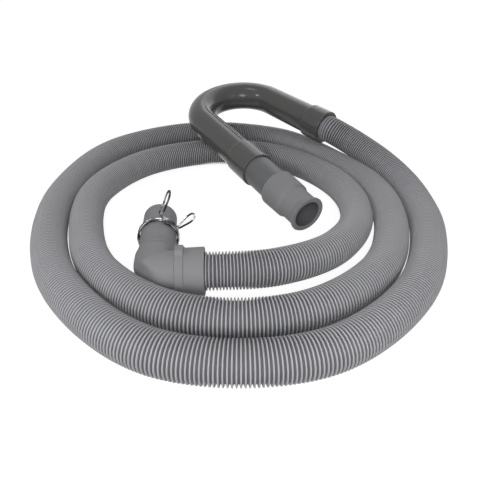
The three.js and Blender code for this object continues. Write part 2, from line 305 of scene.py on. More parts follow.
class HookLine:
    """The middle line of the gooseneck, the outlet tube and the adaptor, from the sleeve's mouth."""

    def __init__(self):
        level = heading(HOOK_HEADING)
        pitch = math.radians(HOOK_PITCH)
        self.out = level * math.cos(pitch) + Vector((0, 0, math.sin(pitch)))
        self.across = turned_about(heading(HOOK_HEADING + 90), self.out, HOOK_ROLL)
        self.side = self.out.cross(self.across)
        self.bend = math.radians(BEND_ANGLE)
        self.back = self.out * math.cos(self.bend) + self.across * math.sin(self.bend)
        self.rise = RISING_LEG + SLEEVE_LENGTH / 2
        self.arc = BEND_RADIUS * self.bend
        self.length = self.rise + self.arc + RETURN_LEG
        # The line with its mouth at the origin tells how high the mouth has to be for the end of the
        # bend to clear the coil.
        self.mouth = Vector((0, 0, 0))
        bend_height = self.at(self.rise + self.arc)[0].z
        mouth_height = HOSE_OUTER + REST_GAP + PIPE_OUTER / 2 - bend_height
        middle = COIL_MIDDLE + Vector((*HOOK_PLACE, 0))
        mouth = middle - self.out * (SLEEVE_LENGTH / 2)
        self.mouth = Vector((mouth.x, mouth.y, mouth_height))

    def point(self, distance, angle, radius):
        """A point round the line: angle zero looks to the inside of the bend, a quarter turn up."""
        middle, inward, up = self.at(distance)
        return middle + (inward * math.cos(angle) + up * math.sin(angle)) * radius

    def at(self, distance):
        """The middle, the way towards the inside of the bend, and the way out of its plane."""
        if distance <= self.rise:
            return self.mouth + self.out * distance, self.across, self.side
        if distance <= self.rise + self.arc:
            angle = (distance - self.rise) / BEND_RADIUS
            centre = self.mouth + self.out * self.rise + self.across * BEND_RADIUS
            inward = self.across * math.cos(angle) - self.out * math.sin(angle)
            return centre - inward * BEND_RADIUS, inward, self.side
        end, inward, side = self.at(self.rise + self.arc)
        return end + self.back * (distance - self.rise - self.arc), inward, side


class ElbowLine:
    """The elbow boot's middle line: from the cuff's mouth to the corner, and on to the leg's rim."""

    def __init__(self):
        self.to_hose = heading(CUFF_HEADING)
        droop = math.radians(LEG_DROOP)
        level = heading(LEG_HEADING)
        self.to_pump = level * math.cos(droop) - Vector((0, 0, math.sin(droop)))
        self.reach = BEAD_FROM_CORNER + BEAD_WIDTH + CUFF_LENGTH
        self.mouth = COIL_MIDDLE + Vector((*CUFF_MOUTH, BEAD_OUTER / 2))
        self.corner = self.mouth - self.to_hose * self.reach
        self.up = self.to_hose.cross(self.to_pump).normalized()
        self.beyond = -(self.to_hose + self.to_pump).normalized()
        self.mitre = math.tan(math.pi / 2 - self.to_hose.angle(self.to_pump) / 2)

    def cuff(self, from_corner):
        """The distance along the line of a place on the cuff's side of the corner."""
        return self.reach - from_corner

    def leg(self, from_corner):
        """The distance along the line of a place on the leg's side of the corner."""
        return self.reach + from_corner

    def point(self, distance, angle, radius):
        """A point round the line: angle zero looks to the corner's outside, a quarter turn up."""
        aside = radius * math.cos(angle)
        if distance < self.reach:
            way, outward = self.to_hose, self.to_hose.cross(self.up)
        else:
            way, outward = self.to_pump, self.up.cross(self.to_pump)
        along = abs(distance - self.reach)
        if along < BEAD_FROM_CORNER:
            meet = -aside * self.mitre
            along = meet + (BEAD_FROM_CORNER - meet) * along / BEAD_FROM_CORNER
        place = way * along + outward * aside + self.up * (radius * math.sin(angle))
        # The corner is drawn back softly to the plane that cuts it, and its bore with it.
        wall = CORNER_WALL * (CORNER_OUTER / 2 - radius) / (CORNER_OUTER - ELBOW_BORE) * 2
        limit = CORNER_CUT - wall
        over = place.dot(self.beyond) - limit + CORNER_SOFTNESS
        if over > 0:
            kept = CORNER_SOFTNESS * (1 - math.exp(-over / CORNER_SOFTNESS))
            place -= self.beyond * (over - kept)
        return self.corner + place


def smooth_line(points, step):
    """Points about a step apart on a smooth line through the given ones (centripetal spline)."""
    ends = [2 * points[0] - points[1], *points, 2 * points[-1] - points[-2]]
    line = [points[0].copy()]
    for p0, p1, p2, p3 in zip(ends, ends[1:], ends[2:], ends[3:]):
        d0, d1, d2 = ((b - a).length ** 0.5 for a, b in ((p0, p1), (p1, p2), (p2, p3)))
        t1 = ((p1 - p0) / d0 - (p2 - p0) / (d0 + d1) + (p2 - p1) / d1) * d1
        t2 = ((p2 - p1) / d1 - (p3 - p1) / (d1 + d2) + (p3 - p2) / d2) * d1
        c2 = 3 * (p2 - p1) - 2 * t1 - t2
        c3 = 2 * (p1 - p2) + t1 + t2
        pieces = max(1, math.ceil((p2 - p1).length / step))
        for i in range(1, pieces + 1):
            t = i / pieces
            line.append(p1 + t1 * t + c2 * t * t + c3 * t ** 3)
    return line


def hose_route(hook, elbow):
    """The hose's middle line: out of the cuff, round the coil, up the climb and into the sleeve."""

    def on_coil(angle, reach, height):
        return COIL_MIDDLE + heading(angle) * reach + Vector((0, 0, height))

    in_cuff = (-HOSE_IN_ELBOW, -HOSE_IN_ELBOW / 2, 0, STRAIGHT_LEAD)
    in_sleeve = (-STRAIGHT_LEAD, 0, HOSE_IN_SLEEVE / 2, HOSE_IN_SLEEVE)
    cuff_height = BEAD_OUTER / 2
    lying_height = HOSE_OUTER / 2 + FLOOR_GAP
    points = [elbow.mouth + elbow.to_hose * distance for distance in in_cuff]
    for i, reach in enumerate(COIL_REACH):
        angle = COIL_START_ANGLE + i * COIL_STEP_ANGLE
        down = eased(angle, COIL_START_ANGLE - COIL_STEP_ANGLE, COIL_LEVEL_ANGLE)
        points.append(on_coil(angle, reach, cuff_height + (lying_height - cuff_height) * down))
    points += [on_coil(*place) for place in CLIMB]
    points += [hook.mouth + hook.out * distance for distance in in_sleeve]
    return smooth_line(points, ROUTE_STEP)


# Objects and meshes

def placed(name, data):
    """A new object in the scene."""
    item = bpy.data.objects.new(name, data)
    bpy.context.scene.collection.objects.link(item)
    return item


def curve_along(name, line):
    """An object whose curve goes through the points of a line, given in mm."""
    curve = bpy.data.curves.new(name, "CURVE")
    curve.dimensions = "3D"
    spline = curve.splines.new("POLY")
    spline.points.add(len(line) - 1)
    for point, place in zip(spline.points, line):
        point.co = (*(place * MM), 1)
    return placed(name, curve)


def as_plain_mesh(guide, name):
    """Turns a curve with its thickness or its modifier into an object with a plain mesh."""
    bpy.context.view_layer.update()
    evaluated = guide.evaluated_get(bpy.context.evaluated_depsgraph_get())
    mesh = bpy.data.meshes.new_from_object(evaluated)
    mesh.name = name
    guide.modifiers.clear()
    bpy.data.objects.remove(guide)
    return placed(name, mesh)


def face_outwards(mesh):
    """Turns the faces of a closed mesh that is inside out."""
    body = bmesh.new()
    body.from_mesh(mesh)
    if body.calc_volume(signed=True) < 0:
        bmesh.ops.reverse_faces(body, faces=body.faces)
    body.to_mesh(mesh)
    body.free()


def finished(piece, node, material=None):
    """Gives a piece its material, unless it came with one, and lets it stand for its CAD node."""
    if material:
        piece.data.materials.append(material)
    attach(piece, "root")
    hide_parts(node)


# Skins

def rounded(corners):
    """Rounds the corners of a closed outline, each given as (distance, radius, rounding)."""
    outline = []
    for i, (distance, radius, edge) in enumerate(corners):
        corner = Vector((distance, radius))
        before = Vector(corners[i - 1][:2]) - corner
        after = Vector(corners[(i + 1) % len(corners)][:2]) - corner
        start = corner + before.normalized() * min(edge, before.length * ROUNDING_SHARE)
        end = corner + after.normalized() * min(edge, after.length * ROUNDING_SHARE)
        for k in range(ROUNDING_STEPS + 1):
            t = k / ROUNDING_STEPS
            outline.append(start * (1 - t) ** 2 + corner * (2 * t * (1 - t)) + end * t ** 2)
    return outline


def divided(outline, step):
    """Adds rings to an outline's long runs: one close to each end, which keeps the run's shading
    flat, and others between these, at most a step apart."""
    fine = []
    for a, b in zip(outline, outline[1:] + outline[:1]):
        fine.append(a)
        run = (b - a).length
        if run < SHORT_RUN:
            continue
        between = run - 2 * RING_FROM_END
        count = math.ceil(between / step)
        stops = [RING_FROM_END]
        stops += [RING_FROM_END + between * i / count for i in range(1, count)]
        stops.append(run - RING_FROM_END)
        fine += [a.lerp(b, stop / run) for stop in stops]
    return fine


def skin(name, corners, line, settings, bore, relief=None, angles=None, finer=1):
    """A closed mesh: an outline of (distance, radius, rounding) corners in mm carried round a line.

    Its map runs once round the line in U, and in V it is the distance along it in metres.
    In its dark attribute the walls of the bore are marked for a painted shade, and a groove by its
    depth in mm for a painted shade at its bottom."""
    outline = divided(rounded(corners), settings.ring_step / MM / finer)
    angles = angles or even_angles(settings.round_sides)
    count = len(angles)
    places = []
    dark = []
    for distance, radius in outline:
        for angle in angles:
            rise = relief(distance, angle, radius) if relief else 0
            places.append(line.point(distance, angle, radius + rise) * MM)
            # Painted shade where shadow falls: on the bore's walls and at the bottom of a groove
            dark.append(BORE_PAINTED_SHADE if radius <= bore else max(0, -rise))
    faces = []
    maps = []
    for i in range(len(outline)):
        j = (i + 1) % len(outline)
        low, high = outline[i].x * MM, outline[j].x * MM
        for k in range(count):
            m = (k + 1) % count
            left = angles[k] / math.tau
            right = angles[m] / math.tau + (1 if m == 0 else 0)
            faces.append((i * count + k, i * count + m, j * count + m, j * count + k))
            maps += [(left, low), (right, low), (right, high), (left, high)]
    mesh = bpy.data.meshes.new(name)
    mesh.from_pydata(places, [], faces)
    layer = mesh.uv_layers.new(name="Skin")
    for loop, place in zip(layer.data, maps):
        loop.uv = place
    mesh.attributes.new("dark", "FLOAT", "POINT").data.foreach_set("value", dark)
    face_outwards(mesh)
    mesh.shade_smooth()
    return placed(name, mesh)


def even_angles(count):
    return [math.tau * i / count for i in range(count)]


def angles_with_strip(count, middle, span):
    """Even angles, with finer ones across a strip."""
    strip = [middle + span * (i / GROOVE_STRIP_SIDES - 0.5) for i in range(GROOVE_STRIP_SIDES + 1)]
    clear = span / 2 + math.tau / count / 2
    rest = [a for a in even_angles(count) if abs(math.remainder(a - middle, math.tau)) > clear]
    return sorted(strip + rest)


# Node trees

def joined(operation, swapped=False):
    """A method of Value that joins two values with a Math node."""
    return lambda self, other: self.math(operation, other, swapped=swapped)


class Value:
    """A node's output, on which arithmetic adds Math nodes."""

    def __init__(self, tree, socket):
        self.tree = tree
        self.socket = socket

    def output(self, name):
        """Another output of the same node."""
        return Value(self.tree, self.socket.node.outputs[name])

    def math(self, operation, *others, swapped=False):
        """The operation on this value and the others, or the other way round if swapped."""
        given = [self, *others]
        if swapped:
            given.reverse()
        settings = {"operation": operation}
        return self.tree.add("ShaderNodeMath", settings, dict(enumerate(given)))

    __add__ = __radd__ = joined("ADD")
    __sub__ = joined("SUBTRACT")
    __rsub__ = joined("SUBTRACT", swapped=True)
    __mul__ = __rmul__ = joined("MULTIPLY")
    __truediv__ = joined("DIVIDE")
    __rtruediv__ = joined("DIVIDE", swapped=True)

    def above(self, low, high):
        """0 below low, 1 above high and a smooth step between them."""
        settings = {"interpolation_type": "SMOOTHSTEP"}
        values = {"Value": self, "From Min": low, "From Max": high}
        return self.tree.add("ShaderNodeMapRange", settings, values)

    def near(self, place, fade):
        """1 at a place, fading to 0 between the two distances from it that the fade gives."""
        return 1 - (self - place).math("ABSOLUTE").above(*fade)

    def scaled(self, low, high):
        """The value, taken as 0 to 1, on the range from low to high."""
        return self * (high - low) + low

    def varied(self, amount):
        """The value, taken as 0 to 1, as a brightness that varies by the amount round 1."""
        return self.scaled(1 - amount, 1 + amount)


class Tree:
    """Empties a node tree and adds nodes to it."""

    def __init__(self, graph):
        self.graph = graph
        graph.nodes.clear()

    def add(self, kind, settings=None, values=None, output=0):
        """Adds a node, first with its settings and then with its sockets' values or links."""
        node = self.graph.nodes.new(kind)
        for name, setting in (settings or {}).items():
            setattr(node, name, setting)
        for name, value in (values or {}).items():
            if isinstance(value, Value):
                self.graph.links.new(value.socket, node.inputs[name])
            else:
                node.inputs[name].default_value = value
        return Value(self, node.outputs[output]) if node.outputs else None


def opaque(colour):
    """A colour with its fourth part, unless it is a value of a node."""
    return colour if isinstance(colour, Value) else (*colour, 1)


def grey(level):
    return (level, level, level, 1)


class Finish(Tree):
    """A material made of nodes."""

    def __init__(self, name):
        self.material = bpy.data.materials.new(name)
        self.material.use_nodes = True
        super().__init__(self.material.node_tree)
        self.place = self.add("ShaderNodeTexCoord", output="Object")

    def noise(self, scale, detail, stretch=None):
        where = self.place
        if stretch:
            values = {"Vector": where, "Scale": stretch}
            where = self.add("ShaderNodeMapping", None, values)
        values = {"Vector": where, "Scale": scale, "Detail": detail}
        return self.add("ShaderNodeTexNoise", None, values)

    def attribute(self, name):
        return self.add("ShaderNodeAttribute", {"attribute_name": name}, output="Fac")

    def turn(self):
        """How far round its line a point of a skin is, from 0 to 1."""
        place = self.add("ShaderNodeUVMap", {"uv_map": "Skin"})
        return self.add("ShaderNodeSeparateXYZ", None, {"Vector": place}, "X")

    def mixed(self, share, first, second):
        """A colour between two others. A Mix node's colours are its inputs 6 and 7 and output 2."""
        values = {"Factor": share, 6: opaque(first), 7: opaque(second)}
        return self.add("ShaderNodeMix", {"data_type": "RGBA"}, values, 2)

    def shaded(self, colour, brightness):
        """A colour made lighter or darker by a value about 1."""
        values = {"X": brightness, "Y": brightness, "Z": brightness}
        level = self.add("ShaderNodeCombineXYZ", None, values)
        values = {0: colour, 1: level}
        return self.add("ShaderNodeVectorMath", {"operation": "MULTIPLY"}, values)

    def with_painted_shade(self, colour, shade):
        """The colour, with a painted shade on the walls of the bore and at the bottom of a groove."""
        return self.mixed(self.attribute("dark"), colour, shade)

    def bumped(self, height, strength, distance):
        values = {"Height": height, "Strength": strength, "Distance": distance}
        return self.add("ShaderNodeBump", None, values)

    def done(self, colour, roughness, normal, specular=0.5, metallic=0):
        values = {"Base Color": colour, "Roughness": roughness, "Normal": normal}
        values.update({"Specular IOR Level": specular, "Metallic": metallic})
        return self.shown(self.add("ShaderNodeBsdfPrincipled", None, values))

    def shown(self, surface):
        self.add("ShaderNodeOutputMaterial", None, {"Surface": surface})
        return self.material


# Materials

def ribbed_plastic(settings):
    finish = Finish("Ribbed grey plastic")
    groove = finish.attribute("groove")
    broad = finish.noise(scale=9, detail=3)
    fine = finish.noise(scale=420, detail=3)
    dust = finish.noise(scale=60, detail=4)
    seam = finish.attribute("turn").near(HOSE_SEAM, HOSE_SEAM_FADE) * (1 - groove)
    # The grooves get a painted shade, darker than the crests' own colour
    depth = groove.above(*GROOVE_SHADE_FADE)
    base = finish.mixed(depth, settings.crest_colour, settings.groove_painted_shade)
    colour = finish.shaded(base, broad.varied(0.1) * dust.varied(0.05) + seam * HOSE_SEAM_LIGHT)
    smoothest = settings.roughness + HOSE_SMOOTHEST
    roughest = settings.roughness + HOSE_ROUGHEST
    roughness = (fine * 0.5 + dust * 0.5).scaled(smoothest, roughest)
    normal = finish.bumped(fine * 0.6 + seam * 0.4, strength=0.18, distance=0.0003)
    return finish.done(colour, roughness, normal, DULL_SPECULAR)


def moulded_rubber(name, settings):
    finish = Finish(name)
    grain = finish.noise(scale=900, detail=3)
    bloom = finish.noise(scale=28, detail=4)
    broad = finish.noise(scale=10, detail=2)
    # Two seams, a quarter turn to each side of half a turn
    seam = (finish.turn() - 0.5).math("ABSOLUTE").near(0.25, RUBBER_SEAM_FADE)
    level = broad.varied(0.07) * bloom.varied(0.05) + seam * RUBBER_SEAM_LIGHT
    colour = finish.shaded(settings.rubber_colour, level)
    # Painted shade in the bores
    colour = finish.with_painted_shade(colour, settings.painted_shade_colour)
    roughness = (bloom * 0.6 + grain * 0.4).scaled(*RUBBER_ROUGHNESS)
    normal = finish.bumped(grain * 0.5 + seam * 0.8, strength=0.2, distance=0.0003)
    return finish.done(colour, roughness, normal, DULL_SPECULAR)


def glossy_plastic(settings):
    finish = Finish("Glossy grey plastic")
    broad = finish.noise(scale=12, detail=2)
    film = finish.noise(scale=60, detail=2, stretch=(1, 1, 0.35))
    colour = finish.shaded(settings.pipe_colour, broad.varied(0.05) * film.varied(0.015))
    # Painted shade in the bores and at the bottom of the mould seam's groove
    colour = finish.with_painted_shade(colour, settings.painted_shade_colour)
    roughness = film.scaled(settings.pipe_roughness, settings.pipe_roughness + PIPE_ROUGHEST)
    normal = finish.bumped(broad, strength=0.05, distance=0.0004)
    return finish.done(colour, roughness, normal, SMOOTH_SPECULAR)


def satin_plastic(settings):
    finish = Finish("Satin grey plastic")
    broad = finish.noise(scale=14, detail=2)
    drawn = finish.noise(scale=240, detail=3, stretch=(1, 0.2, 1))
    colour = finish.shaded(settings.tube_colour, broad.varied(0.07) * drawn.varied(0.04))
    # Painted shade inside the tube's bore
    colour = finish.with_painted_shade(colour, settings.painted_shade_colour)
    roughness = drawn.scaled(*TUBE_ROUGHNESS)
    normal = finish.bumped(drawn, strength=0.1, distance=0.0002)
    return finish.done(colour, roughness, normal, SMOOTH_SPECULAR)


def chromed_wire(settings):
    finish = Finish("Chromed spring wire")
    bands = finish.noise(scale=160, detail=3)
    fine = finish.noise(scale=1500, detail=2)
    bright = bands.above(*WIRE_BRIGHT_FADE)
    colour = finish.mixed(bright, settings.wire_shade, settings.wire_colour)
    roughness = (bands * 0.5 + fine * 0.5).scaled(*WIRE_ROUGHNESS)
    normal = finish.bumped(fine, strength=0.1, distance=0.0002)
    return finish.done(colour, roughness, normal, metallic=1)


# Settings

def tint(value):
    """The linear colour of a written one, such as 0x8b8c8f."""
    parts = [(value >> shift & 255) / 255 for shift in (16, 8, 0)]
    return tuple(c / 12.92 if c < 0.04045 else ((c + 0.055) / 1.055) ** 2.4 for c in parts)


def colour_setting(name, description, value):
    return FloatVectorProperty(
        name=name, description=description, default=tint(value), subtype="COLOR", size=3, min=0, max=1,
    )


def length_setting(name, description, value, least):
    return FloatProperty(
        name=name, description=description, default=value, min=least, unit="LENGTH", subtype="DISTANCE",
    )


def share_setting(name, description, value, least, most):
    return FloatProperty(
        name=name, description=description, default=value, min=least, max=most, subtype="FACTOR",
    )


def power_setting(name, description, value):
    return FloatProperty(name=name, description=description, default=value, min=0, unit="POWER")


def count_setting(name, description, value, least, most):
    return IntProperty(name=name, description=description, default=value, min=least, max=most)


class HoseSettings(PropertyGroup):
    rib_pitch: length_setting("Rib pitch", "From one rib to the next", 2.3 * MM, 1.5 * MM)
    crest_diameter: length_setting("Crest diameter", "Over the ribs", HOSE_OUTER * MM, 20 * MM)
    root_diameter: length_setting("Root diameter", "At the bottom of the grooves", 22.8 * MM, 15 * MM)
    sides: count_setting("Sides", "Corners round the hose", 20, 12, 48)
    crest_colour: colour_setting("Crest colour", "Of the ribs", 0xB7B7BB)
    # A painted shade in the grooves between the ribs
    groove_painted_shade: colour_setting("Groove colour", "Between the ribs", 0x67676B)
    roughness: share_setting("Roughness", "Of the hose's plastic", 0.48, 0.1, 0.9)


class FittingSettings(PropertyGroup):
    rubber_colour: colour_setting("Rubber colour", "Of the elbow boot and the adaptor", 0x929194)
    pipe_colour: colour_setting("Pipe colour", "Of the gooseneck", 0x5D5D5C)
    pipe_roughness: share_setting("Pipe roughness", "Of the gooseneck's plastic", 0.18, 0.05, 0.8)
    tube_colour: colour_setting("Tube colour", "Of the outlet tube", 0x717274)
    # The colour of the painted shade in the pipe's mould seam and in the bores
    painted_shade_colour: colour_setting("Shade colour", "In the pipe's mould seam and in the bores", 0x1C1D1E)
    wire_colour: colour_setting("Wire colour", "Of the spring clamp where it is bright", 0xB4B5B8)
    wire_shade: colour_setting("Wire shade", "Of the spring clamp where it is dull", 0x3E3F42)
    ring_step: length_setting("Ring step", "The longest distance between a skin's rings", 3 * MM, MM)
    round_sides: count_setting("Round sides", "Corners round a fitting", 72, 24, 160)


class StageSettings(PropertyGroup):
    floor_radius: length_setting("Floor radius", "Of the pale floor", 4, 1)
    key_power: power_setting("Key light", "Large lamp in front", 1.55)
    fill_power: power_setting("Fill light", "Lamp at the right", 0.6)
    back_power: power_setting("Back light", "Wide lamp behind the coil", 3.2)
    top_power: power_setting("Top light", "Lamp above the coil", 1.1)
    spark_power: power_setting("Small light", "Lamp that puts a bright point on the pipe", 0.9)
    world_level: share_setting("Surroundings", "How bright the room is", 0.07, 0, 1)


# Pieces

def ribbed_hose_tree():
    """A tube with closed ends round a curve, with an even number of rings to each rib.

    The first half of a rib's rings lie on its crest and the others in the groove."""
    group = bpy.data.node_groups.new("Ribbed hose", "GeometryNodeTree")
    sockets = {}
    for name, kind in (
        ("Route", "Geometry"), ("Rib pitch", "Float"), ("Crest diameter", "Float"),
        ("Root diameter", "Float"), ("Sides", "Int"), ("Finish", "Material"),
    ):
        socket = group.interface.new_socket(name, in_out="INPUT", socket_type="NodeSocket" + kind)
        sockets[name] = socket.identifier
    group.interface.new_socket("Hose", in_out="OUTPUT", socket_type="NodeSocketGeometry")
    tree = Tree(group)
    given = tree.add("NodeGroupInput")
    crest = given.output("Crest diameter")

    def made(kind, values, settings=None):
        return tree.add("GeometryNode" + kind, settings, values)

    def marked(geometry, name, value):
        values = {"Geometry": geometry, "Name": name, "Value": value}
        return made("StoreNamedAttribute", values, {"domain": "POINT"})

    length = made("CurveLength", {"Curve": given.output("Route")})
    rings = (length / given.output("Rib pitch")).math("ROUND") * RINGS_PER_RIB + 1
    even = made("ResampleCurve", {"Curve": given.output("Route"), "Count": rings})
    in_rib = made("InputIndex", {}).math("MODULO", RINGS_PER_RIB)
    groove = in_rib.math("GREATER_THAN", RINGS_PER_RIB / 2 - 0.5)
    upright = made("SetCurveNormal", {"Curve": marked(even, "groove", groove)}, {"mode": "Z_UP"})
    radius = (crest - groove * (crest - given.output("Root diameter"))) / 2
    circle = made("CurvePrimitiveCircle", {"Resolution": given.output("Sides"), "Radius": 1})
    turn = tree.add("GeometryNodeSplineParameter", output="Factor")
    profile = marked(circle, "turn", turn)
    tube = made(
        "CurveToMesh",
        {"Curve": upright, "Profile Curve": profile, "Scale": radius, "Fill Caps": True},
    )
    smooth = made("SetShadeSmooth", {"Geometry": tube})
    real = made("RealizeInstances", {"Geometry": smooth})
    dressed = made("SetMaterial", {"Geometry": real, "Material": given.output("Finish")})
    tree.add("NodeGroupOutput", None, {"Hose": dressed})
    return group, sockets


class DRAINHOSE_OT_hose(Operator):
    """Ribbed hose, laid from the elbow's cuff round the coil and up into the gooseneck's sleeve"""
    bl_idname = "drainhose.hose"
    bl_label = "Ribbed hose"

    def execute(self, context):
        settings = context.scene.drain_hose
        elbow = ElbowLine()
        guide = curve_along("hose route", hose_route(HookLine(), elbow))
        group, sockets = ribbed_hose_tree()
        modifier = guide.modifiers.new("Ribs", "NODES")
        modifier.node_group = group
        inputs = {
            "Rib pitch": settings.rib_pitch,
            "Crest diameter": settings.crest_diameter,
            "Root diameter": settings.root_diameter,
            "Sides": settings.sides,
            "Finish": ribbed_plastic(settings),
        }
        for name, value in inputs.items():
            modifier[sockets[name]] = value
        hose = as_plain_mesh(guide, "ribbed_hose")
        face_outwards(hose.data)
        places = [vertex.co for vertex in hose.data.vertices]
        sides = settings.sides
        rings = [places[i:i + sides] for i in range(0, len(places), sides)]
        middles = [sum(ring, Vector()) / sides for ring in rings]
        finished(hose, "corrugated_hose")
        [tuple(p) for p in middles]
        return {"FINISHED"}


class DRAINHOSE_OT_elbow(Operator):
    """Rubber elbow boot with the hose's cuff and the leg that goes over the pump's spigot"""
    bl_idname = "drainhose.elbow"
    bl_label = "Elbow boot"

    def execute(self, context):
        settings = context.scene.drain_hose_fittings
        line = ElbowLine()
        cuff, leg = line.cuff, line.leg
        cuff_start = BEAD_FROM_CORNER + BEAD_WIDTH
        shoulder_end = LEG_SHOULDER_FROM_CORNER + LEG_SHOULDER_LENGTH
        hose_stop = line.reach - HOSE_IN_ELBOW - SEAT_GAP
        seat = LEG_LENGTH - CLAMP_FROM_RIM
        spigot = LEG_LENGTH - SPIGOT_DEPTH
        corners = [
            (cuff(line.reach), CUFF_OUTER / 2, ELBOW_EDGE),
            (cuff(cuff_start + BEAD_CUFF_SLOPE), CUFF_THROAT / 2, THROAT_EDGE),
            (cuff(cuff_start), BEAD_OUTER / 2, ELBOW_EDGE),
            (cuff(BEAD_FROM_CORNER + BEAD_CORNER_SLOPE), BEAD_OUTER / 2, ELBOW_EDGE),
            (cuff(BEAD_FROM_CORNER), CORNER_OUTER / 2, BEAD_FOOT_EDGE),
            (leg(LEG_SHOULDER_FROM_CORNER), CORNER_OUTER / 2, ELBOW_EDGE),
            (leg(LEG_SHOULDER_FROM_CORNER + LEG_SHOULDER_SLOPE), LEG_SHOULDER_OUTER / 2, ELBOW_EDGE),
            (leg(shoulder_end - LEG_WAIST_SLOPE), LEG_SHOULDER_OUTER / 2, LEG_SHOULDER_EDGE),
            (leg(shoulder_end + LEG_WAIST_SLOPE), LEG_WAIST_OUTER / 2, LEG_WAIST_EDGES[0]),
            (leg(shoulder_end + LEG_SHOULDER_LENGTH), LEG_WAIST_OUTER / 2, LEG_WAIST_EDGES[1]),
            (leg(seat - CLAMP_OUTER_SPREAD), LEG_CLAMP_OUTER / 2, LEG_CLAMP_EDGES[0]),
            (leg(seat + CLAMP_OUTER_SPREAD), LEG_CLAMP_OUTER / 2, LEG_CLAMP_EDGES[1]),
            (leg(seat + 2 * CLAMP_OUTER_SPREAD), LEG_END_OUTER / 2, LEG_END_EDGES[0]),
            (leg(LEG_LENGTH), LEG_END_OUTER / 2, LEG_END_EDGES[1]),
            (leg(LEG_LENGTH), SPIGOT_BORE / 2, SPIGOT_EDGES[0]),
            (leg(spigot + SPIGOT_CONE), SPIGOT_BORE / 2, SPIGOT_EDGES[1]),
            (leg(spigot), ELBOW_BORE / 2, SPIGOT_EDGES[2]),
            (cuff(hose_stop), ELBOW_BORE / 2, SEAT_EDGE),
            (cuff(hose_stop), HOSE_SEAT, SEAT_CORNER),
            (cuff(line.reach), HOSE_SEAT, SEAT_EDGE),
        ]
        bead_from = cuff(cuff_start) - BEAD_TOLERANCE
        bead_to = cuff(BEAD_FROM_CORNER) + BEAD_TOLERANCE

        def tab(distance, angle, radius):
            """The tab on top of the bead, which shows how far round the cuff is turned."""
            if radius < CUFF_THROAT / 2 or not bead_from < distance < bead_to:
                return 0
            off = abs(math.remainder(angle - math.pi / 2, math.tau)) * BEAD_OUTER / 2
            half = TAB_WIDTH / 2
            return TAB_HEIGHT * (1 - eased(off, half - TAB_EDGE_INSIDE, half + TAB_EDGE_OUTSIDE))

        angles = even_angles(settings.round_sides + ELBOW_EXTRA_SIDES)
        boot = skin("elbow", corners, line, settings, SPIGOT_BORE / 2, tab, angles, ELBOW_FINER)
        finished(boot, "elbow_boot", moulded_rubber("Grey rubber, elbow", settings))
        return {"FINISHED"}


class DRAINHOSE_OT_clamp(Operator):
    """Double spring clamp bent from one wire, with two looped ears"""
    bl_idname = "drainhose.clamp"
    bl_label = "Spring clamp"

    def execute(self, context):
        settings = context.scene.drain_hose_fittings
        line = ElbowLine()
        seat = LEG_CLAMP_OUTER / 2 + CLAMP_GAP + CLAMP_WIRE / 2
        middle = line.corner + line.to_pump * (LEG_LENGTH - CLAMP_FROM_RIM)
        sideways = heading(LEG_HEADING - 90)

        def outward(angle):
            return turned_about(sideways, line.to_pump, -angle)

        def on_ear(angle, lean, out, spread):
            direction = outward(angle + lean)
            width = turned_about(line.to_pump, direction, EAR_TWIST)
            return middle + outward(angle) * seat + direction * out + width * spread

        def on_first_ear(share, spread):
            return on_ear(CLAMP_FIRST_EAR, -EAR_LEAN, FIRST_EAR_LENGTH * share, spread)

        def on_second_ear(share, spread):
            return on_ear(CLAMP_SECOND_EAR, EAR_LEAN, SECOND_EAR_LENGTH * share, spread)

        def half(side):
            """One half of the wire, from the tip of the second ear to the tip of the first."""
            points = [on_second_ear(1, side * EAR_TIP_GAP)]
            for share, wide in SECOND_EAR_LOOP:
                points.append(on_second_ear(share, side * (SECOND_EAR_HALF_WIDTH * wide)))
            points.append(on_second_ear(EAR_ROOT_SHARE, side * CLAMP_INNER_SPREAD))
            first = CLAMP_SECOND_EAR + EAR_ROOT
            last = 360 + CLAMP_FIRST_EAR - EAR_ROOT
            for angle in range(first, last + 1, WIRE_TURN_STEP):
                apart = eased(angle - first, CLAMP_NARROW_SPAN, CLAMP_NARROW_SPAN * 2)
                spread = CLAMP_INNER_SPREAD + (CLAMP_OUTER_SPREAD - CLAMP_INNER_SPREAD) * apart
                points.append(middle + outward(angle) * seat + line.to_pump * (side * spread))
            points.append(on_first_ear(EAR_ROOT_SHARE, side * FIRST_EAR_ROOT_SPREAD))
            for share, wide in FIRST_EAR_LOOP:
                points.append(on_first_ear(share, side * (FIRST_EAR_HALF_WIDTH * wide)))
            return points

        wire = smooth_line([*half(1), on_first_ear(1, 0), *reversed(half(-1))], WIRE_STEP)
        guide = curve_along("spring wire", wire)
        guide.data.bevel_depth = CLAMP_WIRE / 2 * MM
        guide.data.bevel_resolution = WIRE_ROUNDNESS
        guide.data.use_fill_caps = True
        clamp = as_plain_mesh(guide, "clamp")
        clamp.data.shade_smooth()
        finished(clamp, "spring_clamp", chromed_wire(settings))
        return {"FINISHED"}


